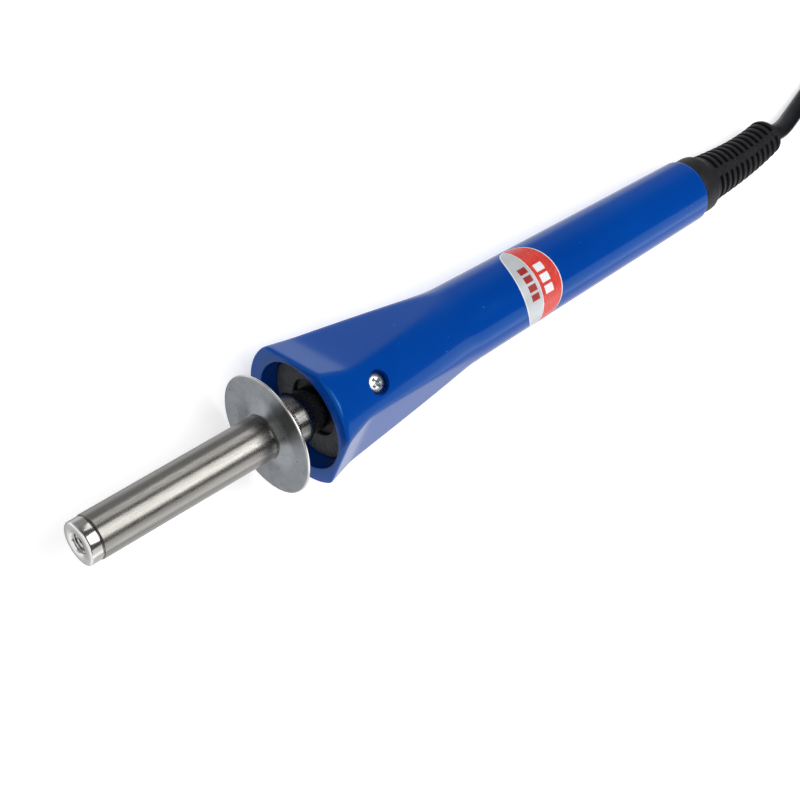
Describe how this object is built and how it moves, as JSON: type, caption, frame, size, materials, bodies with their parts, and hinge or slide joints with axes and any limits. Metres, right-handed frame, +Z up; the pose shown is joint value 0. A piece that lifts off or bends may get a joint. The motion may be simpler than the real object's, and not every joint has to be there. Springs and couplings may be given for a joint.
{
  "type": "soldering iron",
  "caption": "Mains pencil soldering iron with a screw-in bit socket, steel barrel, heat-shield disc, flared plastic handle and a coiled two-core cord with a flat plug.",
  "frame": {"origin": "on the surface the iron lies on, under the middle of the iron from its nose to the end of its strain relief", "axes": "+X from the nose towards the cord, along the surface; +Z up; the barrel's axis lies in the XZ plane and falls 2.8 degrees towards the cord, because the handle lies on the edge of its collar flat and on its cord end"},
  "size_m": [0.3611, 0.0807, 0.0328],
  "materials": {
    "handle_plastic": "glossy injection-moulded blue plastic",
    "screw_zinc": "zinc-plated steel",
    "label": "printed foil sticker in red and silver",
    "nose_nickel": "polished nickel plating",
    "barrel_steel": "satin stainless tube with fine lengthwise grain",
    "shield_zinc": "galvanised sheet, speckled grey",
    "collar_steel": "crimped steel, dulled by heat",
    "plate_board": "dark pressed mineral board",
    "white_ceramic": "unglazed steatite",
    "mica": "rolled mica sheet",
    "nichrome": "resistance wire",
    "glass_sleeving": "woven glass-fibre sleeving",
    "brown_pvc": "brown conductor insulation",
    "blue_pvc": "blue conductor insulation",
    "relief_rubber": "moulded black rubber, satin",
    "cord_pvc": "black cord sheath, half gloss",
    "tie_plastic": "plastic-covered wire tie",
    "plug_plastic": "black moulded plastic with a fine grain",
    "pin_nickel": "nickel-plated brass"
  },
  "bodies": {
    "root": {"handle_shell": "handle_plastic", "handle_screws": "screw_zinc", "rating_label": "label", "nose_bush": "nose_nickel", "barrel_tube": "barrel_steel", "heat_shield": "shield_zinc", "crimp_collar": "collar_steel", "insulation_plate": "plate_board", "mount_bracket": "collar_steel", "heater_core": "white_ceramic", "rear_ceramic_bush": "white_ceramic", "inner_mica_sleeve": "mica", "outer_mica_sleeve": "mica", "mica_end_washer": "mica", "heater_winding": "nichrome", "heater_leads": "nichrome", "lead_sleeves": "glass_sleeving", "crimp_sleeves": "screw_zinc", "conductor_brown": "brown_pvc", "conductor_blue": "blue_pvc", "strain_relief": "relief_rubber", "cord_retainer": "screw_zinc", "cord_lead_in": "cord_pvc", "cord_run": "cord_pvc", "cord_coil": "cord_pvc", "cord_tail": "cord_pvc", "coil_tie": "tie_plastic", "plug_body": "plug_plastic", "plug_pin_sleeves": "plug_plastic", "plug_pins": "pin_nickel"}
  },
  "joints": []
}
